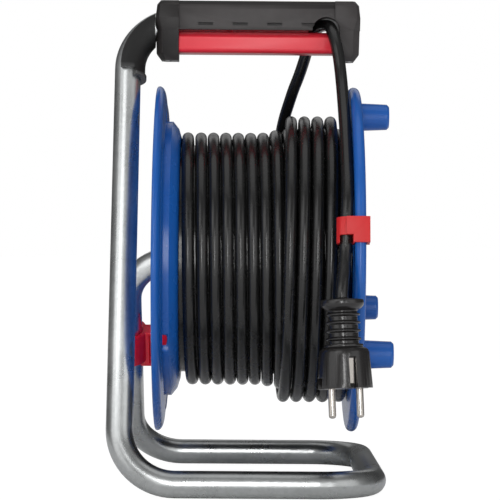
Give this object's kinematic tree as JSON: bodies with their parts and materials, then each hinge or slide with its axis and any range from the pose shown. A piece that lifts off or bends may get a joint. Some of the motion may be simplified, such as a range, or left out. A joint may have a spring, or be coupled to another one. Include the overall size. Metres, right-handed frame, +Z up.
{
  "type": "extension cord reel",
  "caption": "Cord reel on a bent tube frame: a blue drum with earthed sockets in its front flange, wound black cable over a guide bar under the handle, and an earthed plug clipped to the rim.",
  "frame": {"origin": "on the floor, below the middle of the frame and drum", "axes": "+Z up, +X along the drum's axle towards the sockets, -Y the side where the plug hangs"},
  "size_m": [0.1922, 0.2739, 0.3345],
  "materials": {
    "zinc_tube": "bright zinc",
    "black_plastic": "moulded",
    "drum_blue": "moulded",
    "signal_red": "moulded",
    "cable_black": "extruded",
    "screw_steel": "zinc plated",
    "plated_pins": "nickel plated",
    "contact_brass": "stamped",
    "bush_white": "moulded",
    "inner_grey": "moulded"
  },
  "bodies": {
    "frame": {"frame_tube": "zinc_tube", "bend_cover": "black_plastic", "handle_grip": "black_plastic", "handle_end_left": "black_plastic", "handle_end_right": "black_plastic", "guide_bar": "signal_red", "handle_screws": "screw_steel", "axle_end_plug": "black_plastic", "retaining_washer": "screw_steel", "retaining_screw": "screw_steel", "mains_cable": "cable_black", "cable_clip": "signal_red", "plug_boot": "black_plastic", "plug_body": "black_plastic", "plug_pins": "plated_pins", "plug_earth_strips": "plated_pins"},
    "drum": {"rear_flange": "drum_blue", "rear_rim": "drum_blue", "drum_barrel": "drum_blue", "front_flange": "drum_blue", "flange_studs": "drum_blue", "socket_panel": "black_plastic", "busbar_live": "contact_brass", "busbar_neutral": "contact_brass", "earth_busbar": "contact_brass", "earth_clips": "contact_brass", "thermal_cutout": "inner_grey", "terminal_block": "bush_white", "cable_clamp": "black_plastic", "cable_tail": "cable_black", "hub_bush_rear": "bush_white", "hub_bush_front": "bush_white", "rear_flange_screws": "screw_steel", "front_flange_screws": "screw_steel", "panel_screws": "screw_steel", "winding_core": "cable_black", "winding_turns": "cable_black"},
    "reset_button": {"reset_button": "signal_red"},
    "drum_brake": {"drum_brake": "signal_red"}
  },
  "joints": [
    {"name": "drum_spin", "type": "hinge", "parent": "frame", "child": "drum", "pos_m": [0, 0, 0.155], "axis": [1, 0, 0], "continuous": true, "deforming": ["mains_cable"]},
    {"name": "reset_press", "type": "slide", "parent": "drum", "child": "reset_button", "axis": [-1, 0, 0], "range_m": [0, 0.002], "stiffness_N_per_m": 400, "springref_m": -0.002},
    {"name": "brake_swing", "type": "hinge", "parent": "frame", "child": "drum_brake", "pos_m": [-0.086, 0.04854, 0.0915], "axis": [0, -0.6073, 0.7945], "range_deg": [0, 60]}
  ]
}
